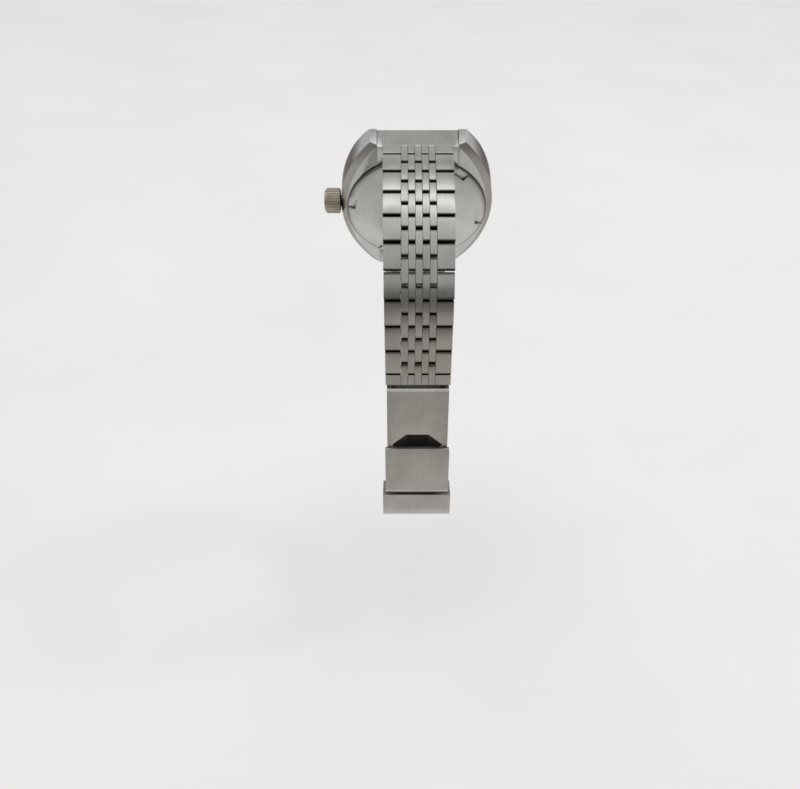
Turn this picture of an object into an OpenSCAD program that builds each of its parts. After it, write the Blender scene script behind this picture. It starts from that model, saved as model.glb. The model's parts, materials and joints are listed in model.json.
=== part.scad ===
// Automatic wristwatch on a five-row steel strap, closed in a loop as it stands on display.
// The origin is the centre of the caseback's outer face. +Z is up and the strap hangs on the -Y side.
// Case pieces are drawn in the dial's own axes: x to 3 o'clock, y to 12, z out of the dial.

/* [Stance] */
// Angle of the dial's normal above the horizontal, degrees
dial_tilt = 25; // [20:1:30]

/* [Case] */
// Width of the case at its waist, crown left out
case_w = 37.4; // [37:0.1:38.5]
// Length over the lug tips
lug_to_lug = 41; // [40.6:0.1:42]
// Height of the mid case above the caseback's face
case_top = 8.2; // [8.1:0.1:8.6]
// Radius of the long arcs of the two sides
side_radius = 31; // [30:0.5:40]
// Radius of the caseback
caseback_r = 17.2; // [16.9:0.1:17.3]
// Diameter of the crown
crown_d = 6.2; // [5.6:0.1:6.4]
// Length of the crown
crown_l = 3.9; // [3.4:0.1:4.4]
// How far the crown pulls out
crown_pull = 1.5; // [1:0.1:1.6]

/* [Strap] */
// Distance from one link pin to the next on the 12 o'clock side
pin_step = 2.98; // [2.95:0.01:3.15]
// Strap width at the lugs
strap_w = 16; // [15.6:0.1:16.4]
// Strap width at the clasp
strap_w_end = 14.7; // [14.5:0.1:14.9]
// Thickness of the links
link_t = 2.4; // [2.2:0.05:2.5]
// Pitch of the centre columns across the strap
column_w = 1.55; // [1.5:0.01:1.6]
// Heading of the first 12 o'clock link, degrees from +Y toward +Z
start_heading = 193.8; // [190:0.2:196]
// Bend at each of the first seven pins, degrees
curl_near = 3.2; // [2.6:0.1:3.6]
// Bend at each of the next seven pins, degrees
curl_mid = 6.85; // [6.4:0.05:7]
// Bend at each of the last pins before the clasp, degrees
curl_far = 0.8; // [0.4:0.1:1.4]

/* [Clasp] */
// Width of the clasp cover
cover_w = 14.2; // [14:0.1:14.3]
// Length of the clasp cover up to its hinge end
cover_l = 28.2; // [27:0.1:30]
// Length of the safety flap
flap_l = 12.2; // [12:0.1:13.4]
// Width of the end piece
end_w = 16.6; // [16.4:0.1:17]
// Width of the nail window in the cover
nail_w = 11.6; // [10:0.2:12]
// Height of the nail window above the flap
nail_h = 3.6; // [2:0.1:4]

/* [Hidden] */
$fn = 48;
fit = 0.04;
eps = 0.01;

// Case heights, from the caseback's face
case_low = 1;
lug_low = case_low;
lug_high = case_top - 1.2;
lug_y = lug_to_lug / 2;
flat_top_y = 12.5;
bevel_w = 1.5;
bevel_h = 1.3;
top_edge = 0.35;
lug_gap = 18.9;
end_link_w = lug_gap - 0.1;
wall_r = 17.4;
bar_y = lug_y - 1.6;
bar_z = 3.4;
bar_r = 0.75;
bar_tip_r = 0.4;
bar_tip_l = 1.2;

// Openings through the mid case
thread_r = 15.5;
thread_top = 2.6;
cavity_r = 14.8;
shoulder_z = 6.9;
dial_opening_r = 13.6;
bezel_r = 15.6;
bezel_seat_z = case_top - 0.6;
stem_z = 3.9;
stem_r = 0.5;
stem_in = 9.6;
tube_r = 1.4;
tube_l = 1.4;
tube_out = case_w / 2 + tube_l;
crown_in = case_w / 2 + 0.25;
crown_out = crown_in + crown_l;

// Movement levels, from the back to the dial
bridge_z = 2.6;
bridge_top = 3.2;
plate_z = 4.8;
dial_z = 6;
dial_top = 6.4;
movement_r = 13.5;
pivot_r = 0.15;
pivot_fit = 0.03;
hand_time = [305, 60, 190];

// Places of the arbors in the movement
barrel_at = [-4.4, 4.4];
third_at = [-3.3, -3.2];
escape_at = [2.6, -3.1];
balance_at = [6.2, -6.4];

// Strap path
rows12 = 19;
units6 = 11;
unit_step = 2 * pin_step;
pin_r = 0.45;
link_gap = 0.24;
face_r = 0.36;
inner_r = 0.85;
column_gap = 0.08;
finger_root = 1.2;
end_heading6 = 266;
strap_face = dial_point(lug_y, lug_low);
strap_face6 = dial_point(-lug_y, lug_low);

// Clasp sizes in its own axes: y down along it, z toward the wrist, z = 0 on the cover's face
cover_t = 0.9;
cover_wall = 0.8;
cover_deep = 5.2;
cover_in = cover_w - 2 * cover_wall;
nail_top_w = 0.45 * nail_w;
bar12_y = 2.2;
bar12_z = 2;
hole_step = 2.5;
flap_axis = [cover_l, 0.9];
flap_t = 0.8;
flap_gap = 0.05;
flap_wall = 0.45;
flap_w = cover_w + 2 * (flap_wall + flap_gap);
hinge1 = [cover_l - 0.8, 3.3];
hinge2 = [3, 4.3];
barrel_r = 0.9;
hinge_pin_r = 0.5;
blade_w = cover_w - 2 * cover_wall - 1;
blade_t = 0.8;
inner_z = hinge2[1] + 0.55;
end_start = cover_l + 2.5;
end_straight = 4.1;
end_arc_r = 4.6;
end_turn = 98;
end_t = 0.9;
end_wall = 0.8;
end_play = 0.15;
link_end_w = end_w - 2 * (end_wall + end_play);
ear_r = 1.5;
clasp_open_deg = 30;
outer_open_deg = 70;
inner_open_deg = 40;
flap_open_deg = 100;

// Directions in the Y-Z plane, as [y, z]
function along(a) = [cos(a), sin(a)];
function left_of(a) = [-sin(a), cos(a)];
function dial_point(y, z) =
    [-sin(dial_tilt) * y + cos(dial_tilt) * z, cos(dial_tilt) * y + sin(dial_tilt) * z];

// Bend at pin k, heading of row k and place of pin k on the 12 o'clock side
function curl12(k) = k < 7 ? curl_near : k < 14 ? curl_mid : curl_far;
function heading12(k) = k < 0 ? start_heading : heading12(k - 1) + curl12(k);
function pin12(k) = k == 0
    ? strap_face + along(start_heading) * pin_step / 2 + left_of(start_heading) * link_t / 2
    : pin12(k - 1) + along(heading12(k - 1)) * pin_step;
function width12(k) = strap_w + (strap_w_end - strap_w) * k / rows12;

// The clasp hangs on a spring bar in the tongue of the last row, past the visible end of the strap
bar12_reach = 1.5 * pin_step + 0.5 + bar12_y;
bar12 = pin12(rows12 - 1) + along(heading12(rows12 - 1)) * bar12_reach;
clasp_heading = heading12(rows12);
clasp_origin = bar12 - along(clasp_heading) * bar12_y - left_of(clasp_heading) * bar12_z;
function clasp_point(p) =
    clasp_origin + along(clasp_heading) * p[0] + left_of(clasp_heading) * p[1];

// The bar that joins the end piece to the 6 o'clock side, past the end of its curved shell
arc_centre = [end_start + end_straight, end_arc_r];
ear_at = arc_centre + (end_arc_r - link_t / 2) * [sin(end_turn), -cos(end_turn)]
    + 1.7 * [cos(end_turn), sin(end_turn)];

// The 6 o'clock side is an even arc from its end link to the ear: equal bends, found by halving
first6 = strap_face6 + along(end_heading6) * pin_step / 2 - left_of(end_heading6) * link_t / 2;
last6 = clasp_point(ear_at);
chord6 = norm(last6 - first6);
chord_heading6 = 360 + atan2(last6[1] - first6[1], last6[0] - first6[0]);
function arc_chord(bend) = unit_step * sin(units6 * bend / 2) / sin(bend / 2);
function find_bend(low, high, n = 30) = n == 0 ? (low + high) / 2
    : arc_chord((low + high) / 2) > chord6
    ? find_bend((low + high) / 2, high, n - 1)
    : find_bend(low, (low + high) / 2, n - 1);
bend6 = find_bend(0.5, 16);
function heading6(k) = chord_heading6 + (units6 - 1) * bend6 / 2 - k * bend6;
function pin6(k) = k == 0 ? first6 : pin6(k - 1) + along(heading6(k - 1)) * unit_step;
function width6(k) = strap_w + (link_end_w - strap_w) * k / units6;

function row_name(k) = str("strap12_row_", k < 9 ? "0" : "", k + 1);
function unit_name(k) = str("strap6_link_", k < 9 ? "0" : "", k + 1);

steel = [0.62, 0.61, 0.58];
satin = [0.56, 0.55, 0.53];
brass_tone = [0.76, 0.66, 0.42];

// Turns the dial's axes into the world's
module to_dial() rotate([90 - dial_tilt, 0, 180]) children();

// Puts a piece drawn along +Y at a point of the Y-Z plane, turned to a heading
module in_plane(p, a) translate([0, p[0], p[1]]) rotate([a, 0, 0]) children();

module in_clasp() in_plane(clasp_origin, clasp_heading) children();

// Extrudes a side view, drawn as y and z, across the width and centred on x = 0
module across(w) rotate([90, 0, 90]) translate([0, 0, -w / 2]) linear_extrude(w) children();

module rod(r, l) rotate([0, 90, 0]) cylinder(r = r, h = l, center = true);

module ring(r_out, r_in, z0, z1) {
    translate([0, 0, z0]) difference() {
        cylinder(r = r_out, h = z1 - z0, $fn = 96);
        translate([0, 0, -1]) cylinder(r = r_in, h = z1 - z0 + 2, $fn = 96);
    }
}

module disc(r, z0, z1) translate([0, 0, z0]) cylinder(r = r, h = z1 - z0, $fn = 96);

module at(p) translate([p[0], p[1], 0]) children();

// Case

// One long side arc turned as a disc, bevelled on the wrist side and eased on the dial side
module side_disc() {
    rotate_extrude($fn = 180) polygon([
        [0, case_low],
        [side_radius - bevel_w, case_low],
        [side_radius, case_low + bevel_h],
        [side_radius, case_top - top_edge],
        [side_radius - top_edge, case_top],
        [0, case_top]]);
}

// Side view of the case: flat over the bezel, then falling to the lug tips
module case_side() {
    polygon([
        [-lug_y, lug_low + 0.4],
        [-lug_y + 0.4, lug_low],
        [lug_y - 0.4, lug_low],
        [lug_y, lug_low + 0.4],
        [lug_y, lug_high - 0.5],
        [lug_y - 0.5, lug_high],
        [flat_top_y, case_top],
        [-flat_top_y, case_top],
        [-lug_y + 0.5, lug_high],
        [-lug_y, lug_high - 0.5]]);
}

module case_blank() {
    arc_shift = side_radius - case_w / 2;
    intersection() {
        translate([-arc_shift, 0, 0]) side_disc();
        translate([arc_shift, 0, 0]) side_disc();
        across(case_w + 2) case_side();
    }
}

// The gap between the lugs on the 12 o'clock side, up to the round wall of the case
module lug_space(w) {
    difference() {
        translate([-w / 2, 10, -5]) cube([w, lug_y, 20]);
        disc(wall_r, -6, 16);
    }
}

module mid_case() {
    color(steel) to_dial() difference() {
        union() {
            difference() {
                case_blank();
                lug_space(lug_gap);
                mirror([0, 1, 0]) lug_space(lug_gap);
            }
            translate([(cavity_r + 1 + tube_out) / 2, 0, stem_z]) rod(tube_r, tube_out - cavity_r - 1);
        }
        disc(thread_r, 0, thread_top);
        disc(thread_r + 1, 0, case_low + 0.5);
        disc(cavity_r, thread_top - 1, shoulder_z);
        disc(dial_opening_r, shoulder_z - 1, case_top + 1);
        disc(bezel_r, bezel_seat_z, case_top + 1);
        translate([17, 0, stem_z]) rod(stem_r + fit, 12);
        for (side = [-1, 1]) translate([0, side * bar_y, bar_z])
            rod(bar_tip_r + fit, lug_gap + 2 * bar_tip_l + 0.3);
    }
}

module bezel() {
    color(steel) to_dial() rotate_extrude($fn = 120) polygon([
        [dial_opening_r, bezel_seat_z],
        [bezel_r, bezel_seat_z],
        [bezel_r, case_top + 0.3],
        [bezel_r - 0.3, case_top + 0.6],
        [bezel_r - 0.7, case_top + 1.4],
        [bezel_r - 1.05, case_top + 1.4],
        [bezel_r - 1.05, case_top + 0.3],
        [dial_opening_r, case_top + 0.3]]);
}

crystal_r = bezel_r - 1.35;
crystal_z = case_top + 0.3;
dome_rise = 1.1;
dome_r = (crystal_r * crystal_r + dome_rise * dome_rise) / (2 * dome_rise);
dome_top = case_top + 2.6;

module crystal() {
    color([0.85, 0.88, 0.9, 0.4]) to_dial() intersection() {
        disc(crystal_r, crystal_z, dome_top + 1);
        translate([0, 0, dome_top - dome_r]) sphere(r = dome_r, $fn = 180);
    }
}

module chapter_ring() {
    color([0.7, 0.7, 0.68]) to_dial() rotate_extrude($fn = 120) polygon([
        [cavity_r - 0.05, dial_top],
        [cavity_r - 0.05, shoulder_z],
        [dial_opening_r - 0.05, shoulder_z],
        [dial_opening_r - 0.05, case_top - 0.1],
        [dial_opening_r - 0.4, case_top - 0.1],
        [dial_opening_r - 1, dial_top]]);
}

module dial() {
    color([0.8, 0.8, 0.78]) to_dial() ring(cavity_r - 0.05, 0.95, dial_z, dial_top);
}

module hour_markers() {
    color(steel) to_dial() for (hour = [0 : 11]) rotate([0, 0, -30 * hour])
        translate([hour == 0 ? -0.75 : -0.4, 10.2, dial_top]) cube([hour == 0 ? 1.5 : 0.8, 2.2, 0.35]);
}

// Flat baton hand with a round hub, pointing to 12 before it is turned to its time
module hand(length, tail, w, z, t, hub_r, bore_r, time) {
    rotate([0, 0, -time]) translate([0, 0, z]) difference() {
        union() {
            cylinder(r = hub_r, h = t);
            linear_extrude(t) polygon([
                [-w / 2, -tail],
                [w / 2, -tail],
                [w / 2, length - w],
                [0, length],
                [-w / 2, length - w]]);
        }
        translate([0, 0, -1]) cylinder(r = bore_r, h = t + 2);
    }
}

module hour_hand() {
    color(steel) to_dial() {
        hand(7.6, 2, 1, 6.75, 0.2, 1.3, 0.55, hand_time[0]);
        ring(0.9, 0.55, dial_z + 0.05, 6.8);
    }
}

module minute_hand() {
    color(steel) to_dial() hand(11.6, 2.4, 0.8, 7.02, 0.18, 1, 0.5, hand_time[1]);
}

module second_hand() {
    color(steel) to_dial() hand(12, 3.6, 0.25, 7.28, 0.14, 0.6, pivot_r + 0.05, hand_time[2]);
}

// Movement

module movement_ring() {
    color("silver") to_dial() difference() {
        ring(cavity_r, movement_r, thread_top, dial_z);
        translate([15, 0, stem_z]) rod(stem_r + 0.1, 6);
    }
}

module mainplate() {
    color(brass_tone) to_dial() difference() {
        union() {
            disc(movement_r, plate_z, dial_z);
            translate([9.5, -1.4, bridge_top]) cube([3.8, 2.8, plate_z - bridge_top + 0.1]);
        }
        disc(0.5 + fit, plate_z - 1, dial_z + 1);
        for (p = [barrel_at, third_at, escape_at, balance_at])
            at(p) disc(pivot_r + pivot_fit, plate_z - 1, plate_z + 0.5);
        translate([12, 0, stem_z]) rod(stem_r + fit, 8);
    }
}

module train_bridge() {
    color("silver") to_dial() {
        difference() {
            disc(movement_r - 0.1, bridge_z, bridge_top);
            for (p = [[0, 0], barrel_at, third_at, escape_at, balance_at])
                at(p) disc(pivot_r + pivot_fit, bridge_top - 0.4, bridge_top + 1);
            at([9.6, -8.6]) disc(1.6, bridge_z - 1, bridge_top + 1);
        }
        disc(0.8, 1.5, bridge_z + 0.1);
        for (p = [[2.5, 11.8], [11, 5.2], [-2, -11.2], [-11.5, -3]])
            at(p) disc(0.9, bridge_top - 0.1, plate_z);
    }
}

// Outline of a wheel: teeth with straight sides, 0.25 mm high
function wheel_outline(r, teeth) = [
    for (i = [0 : teeth - 1], p = [[r - 0.25, -0.14], [r, -0.08], [r, 0.08], [r - 0.25, 0.14]])
        let (a = i * 360 / teeth)
        [p[0] * cos(a) - p[1] * sin(a), p[0] * sin(a) + p[1] * cos(a)]];

// Toothed wheel; the tips keep clear of the piece they drive
module wheel(r, teeth, z0, z1, spokes = 0) {
    difference() {
        translate([0, 0, z0]) linear_extrude(z1 - z0) polygon(wheel_outline(r, teeth));
        if (spokes > 0) for (i = [0 : spokes - 1]) rotate([0, 0, (i + 0.5) * 360 / spokes])
            translate([r * 0.55, 0, z0 - 1]) cylinder(r = r * 0.22, h = z1 - z0 + 2);
    }
}

module arbor(z0 = bridge_top - 0.35, z1 = plate_z + 0.4) disc(pivot_r, z0, z1);

module barrel() {
    color(brass_tone) to_dial() at(barrel_at) {
        disc(4.7, 3.9, 4.7);
        wheel(5.3, 36, 4.1, 4.3);
        arbor();
    }
}

module centre_wheel() {
    color(brass_tone) to_dial() difference() {
        union() {
            wheel(3.8, 30, 3.65, 3.8, 5);
            disc(0.75, 3.65, 4.6);
            disc(0.5, 3.65, 7.2);
        }
        disc(pivot_r + 0.08, 3, 8);
    }
}

module third_wheel() {
    color(brass_tone) to_dial() at(third_at) {
        wheel(3.7, 30, 3.42, 3.55, 5);
        disc(0.6, 3.4, 3.95);
        arbor();
    }
}

module fourth_wheel() {
    color(brass_tone) to_dial() {
        wheel(3.4, 28, 3.24, 3.36, 5);
        disc(0.7, 3.3, 3.6);
        arbor(bridge_top - 0.35, 7.3);
        disc(pivot_r + 0.05, 7.2, 7.42);
    }
}

module escape_wheel() {
    color("silver") to_dial() at(escape_at) {
        wheel(2, 15, 4, 4.12);
        disc(0.45, 3.22, 4.1);
        arbor();
    }
}

// The hairspring is an even spiral of five turns, drawn as one strip with a tab to the staff
hair_turns = 5;
hair_in = 0.8;
hair_out = 2.2;
function hair_point(a, off) =
    (hair_in + (hair_out - hair_in) * a / (360 * hair_turns) + off) * [cos(a), sin(a)];

module balance_wheel() {
    steps = 18 * hair_turns;
    strip = concat(
        [[0.3, -0.12], [hair_in + 0.04, -0.12]],
        [for (i = [0 : steps]) hair_point(20 * i, 0.04)],
        [for (i = [steps : -1 : 0]) hair_point(20 * i, -0.04)],
        [[0.3, 0]]);
    color(brass_tone) to_dial() at(balance_at) {
        ring(3.6, 3.1, 3.5, 3.85);
        for (a = [0 : 120 : 240]) rotate([0, 0, a])
            translate([0.2, -0.25, 3.55]) cube([3, 0.5, 0.2]);
        disc(0.5, 3.45, 4.4);
        translate([0, 0, 4.15]) linear_extrude(0.12) polygon(strip);
        arbor();
    }
}

module rotor() {
    color(satin) to_dial() {
        translate([0, 0, 1.3]) rotate([0, 0, 200])
            rotate_extrude(angle = 180, $fn = 120) translate([10.2, 0]) square([2.7, 1.05]);
        difference() {
            intersection() {
                union() {
                    disc(10.4, 1.85, 2.1);
                    disc(2.2, 1.7, 2.45);
                }
                union() {
                    disc(2.2, 1, 3);
                    rotate([0, 0, 200]) translate([-11, 0, 1]) cube([22, 11, 2]);
                }
            }
            disc(0.8 + fit, 0, 4);
            for (a = [225 : 45 : 360]) rotate([0, 0, a]) translate([6.2, 0, 0])
                cylinder(r = 1.9, h = 4);
        }
    }
}

// Crown and back

module crown() {
    color(steel) to_dial() translate([crown_in, 0, stem_z]) rotate([0, 90, 0]) difference() {
        union() {
            translate([0, 0, 0.2]) cylinder(d = crown_d, h = crown_l - 0.7);
            cylinder(d = crown_d - 0.5, h = crown_l - 0.2);
            cylinder(d = crown_d - 1.4, h = crown_l);
        }
        for (i = [0 : 27]) rotate([0, 0, i * 360 / 28]) translate([crown_d / 2 + 0.06, 0, -1])
            cylinder(r = 0.24, h = crown_l + 2, $fn = 16);
        translate([0, 0, -1]) cylinder(r = tube_r + 0.3, h = tube_out - crown_in + 1.55);
        translate([0, 0, -1]) cylinder(r = stem_r + fit, h = crown_l + 0.1);
    }
}

module stem() {
    color(steel) to_dial() translate([(stem_in + crown_out - 1) / 2, 0, stem_z])
        rod(stem_r, crown_out - 1 - stem_in);
}

module caseback() {
    color(satin) to_dial() difference() {
        rotate_extrude($fn = 120) polygon([
            [0, 0],
            [caseback_r - 1.3, 0],
            [caseback_r - 0.3, 0.35],
            [caseback_r, 0.7],
            [caseback_r, case_low],
            [thread_r, case_low],
            [thread_r, thread_top],
            [thread_r - 0.8, thread_top],
            [thread_r - 0.8, case_low],
            [0, case_low]]);
        for (i = [0 : 5]) rotate([0, 0, 10 + 60 * i])
            translate([caseback_r - 2.1, -1.6, -1]) cube([4, 3.2, 1.6]);
    }
}

module seals() {
    color([0.1, 0.1, 0.1]) to_dial() {
        ring(thread_r + 0.95, thread_r, case_low, case_low + 0.45);
        ring(crystal_r + 0.3, crystal_r, crystal_z, case_top + 1.3);
        translate([tube_out - 0.3, 0, stem_z]) rotate([0, 90, 0])
            ring(tube_r + 0.22, tube_r, -0.25, 0.25);
    }
}

module lug_spring_bars() {
    color(steel) to_dial() for (side = [-1, 1]) translate([0, side * bar_y, bar_z]) {
        rod(bar_r, end_link_w);
        rod(bar_tip_r, lug_gap + 2 * bar_tip_l);
    }
}

// Strap links

// Side view of one plate: a bar from y0 to y1 with small corners on its outer face and large
// ones on its inner face, which give the links room to bend round the wrist
module round_bar(y0, y1) {
    intersection() {
        union() {
            translate([y0 + face_r, -link_t / 2]) square([y1 - y0 - 2 * face_r, link_t]);
            translate([y0, face_r - link_t / 2]) square([y1 - y0, link_t]);
            for (y = [y0 + face_r, y1 - face_r]) translate([y, face_r - link_t / 2]) circle(face_r);
        }
        union() {
            translate([y0 + inner_r, -link_t / 2]) square([y1 - y0 - 2 * inner_r, link_t]);
            translate([y0, -link_t]) square([y1 - y0, 1.5 * link_t - inner_r]);
            for (y = [y0 + inner_r, y1 - inner_r]) translate([y, link_t / 2 - inner_r])
                circle(inner_r);
        }
    }
}

// The plates of one row. Inner rows have centre columns 1, 3 and 5; outer rows have columns 2
// and 4 and the two wide edge columns, which carry the strap's taper.
module plates(y0, y1, inner, w) {
    edge_w = w / 2 - 2.5 * column_w - column_gap / 2;
    for (c = inner ? [-2, 0, 2] : [-1, 1]) translate([c * column_w, 0, 0])
        across(column_w - column_gap) round_bar(y0, y1);
    if (!inner) for (side = [-1, 1]) translate([side * (w - edge_w) / 2, 0, 0])
        across(edge_w) round_bar(y0, y1);
}

plate_end = (pin_step - link_gap) / 2;

// A row from its own pin at y = 0 to the bore for the next row's pin
module link_row(inner, w) {
    difference() {
        union() {
            plates(-plate_end, pin_step + plate_end, inner, w);
            rod(pin_r, w - 0.3);
        }
        translate([0, pin_step, 0]) rod(pin_r + fit, w + 1);
    }
}

// The last row carries the full-width end of the strap and the tongue inside the clasp cover
tongue_w = cover_in - 0.2;

module tongue_row(w) {
    plates(-plate_end, pin_step + plate_end, true, w);
    plates(pin_step - plate_end, pin_step + plate_end, false, w);
    rod(pin_r, w - 0.3);
    translate([0, pin_step, 0]) rod(pin_r, w - 0.3);
    across(tongue_w) polygon([
        [1.5 * pin_step - 0.4, 0.3],
        [bar12_reach - bar12_y, 0.3],
        [bar12_reach - 0.6, -0.3],
        [bar12_reach, 0.8],
        [bar12_reach - 0.4, 1.1],
        [1.5 * pin_step - 0.4, 1.1]]);
    translate([0, bar12_reach, 0]) {
        rod(0.9, tongue_w);
        rod(pin_r, cover_w - 0.3);
    }
}

module row12(k) {
    color(steel) in_plane(pin12(k), heading12(k)) {
        if (k < rows12 - 1) link_row(k % 2 == 0, width12(k));
        else tongue_row(width12(k));
    }
}

// A 6 o'clock link joins an inner and an outer row; the last one holds the spring bar
module unit6(k) {
    w = width6(k + 1);
    color(steel) in_plane(pin6(k), heading6(k)) {
        difference() {
            mirror([0, 0, 1]) {
                plates(-plate_end, pin_step + plate_end, true, w);
                plates(pin_step - plate_end, unit_step + plate_end, false, w);
                rod(pin_r, w - 0.3);
                translate([0, pin_step, 0]) rod(pin_r, w - 0.3);
            }
            translate([0, unit_step, 0]) rod(pin_r + fit, w + 1);
        }
        if (k == units6 - 1) translate([0, unit_step, 0]) rod(pin_r + fit, w - 0.1);
    }
}

// End links fill the space between the lugs and carry the first pin of each side
module end_link_block() {
    difference() {
        intersection() {
            lug_space(end_link_w);
            across(case_w) translate([0, -0.35]) case_side();
            translate([-end_link_w / 2, 0, lug_low]) cube([end_link_w, lug_y - 0.3, case_top]);
        }
        translate([0, bar_y, bar_z]) rod(bar_r, end_link_w + 2);
        disc(dial_opening_r + 2.2, bezel_seat_z, case_top + 1);
    }
}

module end_fingers(p, a) {
    in_plane(p, a) difference() {
        plates(-pin_step / 2 - finger_root, plate_end, false, strap_w);
        rod(pin_r + fit, strap_w + 1);
    }
}

module end_fingers6() {
    in_plane(first6, end_heading6) mirror([0, 0, 1]) difference() {
        plates(-pin_step / 2 - finger_root, plate_end, false, strap_w);
        rod(pin_r + fit, strap_w + 1);
    }
}

module end_link_12() {
    color(steel) {
        to_dial() end_link_block();
        end_fingers(pin12(0), start_heading);
    }
}

module end_link_6() {
    color(steel) {
        to_dial() mirror([0, 1, 0]) end_link_block();
        end_fingers6();
    }
}

// Clasp

// The end at the strap is rounded about the bar, so that the cover swings clear of the last row
swing_r = bar12_y + 0.4;

module cover_side() {
    intersection() {
        polygon([
            [0, 0],
            [cover_l, 0],
            [cover_l, cover_deep - 1],
            [cover_l - 1, cover_deep],
            [4, cover_deep],
            [0, 3.6]]);
        union() {
            translate([bar12_y, -1]) square([cover_l, cover_deep + 2]);
            translate([bar12_y, bar12_z]) circle(swing_r);
        }
    }
    translate(flap_axis) circle(0.9);
}

module clasp_cover() {
    color(satin) in_clasp() {
        difference() {
            across(cover_w) cover_side();
            translate([-cover_in / 2, -1, cover_t]) cube([cover_in, cover_l + 5, 10]);
            for (i = [0 : 4]) translate([0, bar12_y + i * hole_step, bar12_z])
                rod(pin_r + fit, cover_w + 2);
            translate([0, flap_axis[0], flap_axis[1]]) rod(0.4 + fit, cover_w + 2);
            translate([0, cover_l - flap_l, -1]) linear_extrude(3) polygon([
                [-nail_w / 2, 0.6],
                [nail_w / 2, 0.6],
                [nail_w / 2, -0.8],
                [nail_top_w / 2, -nail_h],
                [-nail_top_w / 2, -nail_h],
                [-nail_w / 2, -0.8]]);
        }
        translate([0, hinge1[0], hinge1[1]]) rod(hinge_pin_r, cover_w);
    }
}

// The cover's skin seen from the side: the plate, and its end rolled round the hinge
module flap_skin() {
    translate([cover_l - flap_l, -flap_gap - flap_t]) square([flap_l, flap_t]);
    intersection() {
        translate(flap_axis) difference() {
            circle(flap_axis[1] + flap_gap + flap_t);
            circle(flap_axis[1] + flap_gap);
        }
        translate([cover_l, -3]) square([4, 3.4]);
    }
}

module flap_cheek() {
    r = flap_axis[1] + flap_gap + flap_t;
    translate(flap_axis) circle(r);
    polygon([
        [cover_l - flap_l + 0.6, flap_axis[1] - r],
        [cover_l, flap_axis[1] - r],
        [cover_l, flap_axis[1] + r],
        [cover_l - flap_l + 2.4, flap_axis[1] + r],
        [cover_l - flap_l + 0.6, flap_axis[1] + r - 1.8]]);
}

module safety_flap() {
    corner = 1;
    top = cover_l - flap_l;
    color(satin) in_clasp() {
        intersection() {
            union() {
                across(flap_w) flap_skin();
                for (side = [-1, 1]) translate([side * (flap_w - flap_wall) / 2, 0, 0])
                    across(flap_wall) flap_cheek();
            }
            translate([0, 0, -3]) linear_extrude(10) union() {
                translate([corner - flap_w / 2, top]) square([flap_w - 2 * corner, 20]);
                translate([-flap_w / 2, top + corner]) square([flap_w, 20]);
                for (side = [-1, 1]) translate([side * (flap_w / 2 - corner), top + corner])
                    circle(corner);
            }
        }
        translate([0, flap_axis[0], flap_axis[1]]) rod(0.4, flap_w - 0.2);
    }
}

blade_angle = atan2(hinge2[1] - hinge1[1], hinge2[0] - hinge1[0]);
blade_l = norm(hinge2 - hinge1);
knuckle_x = 2.6;

module outer_blade() {
    color(satin) in_clasp() difference() {
        union() {
            across(blade_w) {
                translate(hinge1) circle(barrel_r);
                translate(hinge1) rotate(blade_angle) translate([0, -blade_t / 2])
                    square([blade_l - 0.7, blade_t]);
            }
            across(2 * knuckle_x - 0.1) {
                translate(hinge2) circle(barrel_r);
                translate(hinge1) rotate(blade_angle) translate([0, -blade_t / 2])
                    square([blade_l, blade_t]);
            }
            translate([0, hinge2[0], hinge2[1]]) rod(hinge_pin_r, blade_w);
        }
        translate([0, hinge1[0], hinge1[1]]) rod(hinge_pin_r + fit, blade_w + 1);
        for (side = [-1, 1]) difference() {
            translate([side * (knuckle_x + 3), hinge2[0], hinge2[1]]) rod(barrel_r + 0.15, 6);
            translate([0, hinge2[0], hinge2[1]]) rod(hinge_pin_r, blade_w);
        }
        translate([-2.2, hinge2[0] + 5, 0]) cube([4.4, blade_l - 10, 10]);
    }
}

// The folded end piece, seen from the side: a shell that starts flat and curves under the wrist side
module end_shell() {
    shell_end = arc_centre[1] - end_arc_r * cos(end_turn) - 0.2;
    translate([end_start, 0]) square([end_straight, end_t]);
    intersection() {
        translate(arc_centre) difference() {
            circle(end_arc_r, $fn = 96);
            circle(end_arc_r - end_t, $fn = 96);
        }
        translate([arc_centre[0], 0]) square([10, shell_end]);
    }
}

module end_cheek() {
    plate_top = inner_z + blade_t;
    translate([end_start, 0]) square([end_straight, plate_top]);
    intersection() {
        translate(arc_centre) circle(end_arc_r, $fn = 96);
        translate([arc_centre[0], 0]) square([10, arc_centre[1]]);
    }
    polygon([
        [arc_centre[0] - 0.1, arc_centre[1] - 0.1],
        [arc_centre[0] + end_arc_r, arc_centre[1] - 0.1],
        [ear_at[0] + link_t / 2, ear_at[1]],
        [ear_at[0] - link_t / 2, ear_at[1]],
        [arc_centre[0] - 0.1, plate_top]]);
    translate(ear_at) circle(link_t / 2);
}

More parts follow.
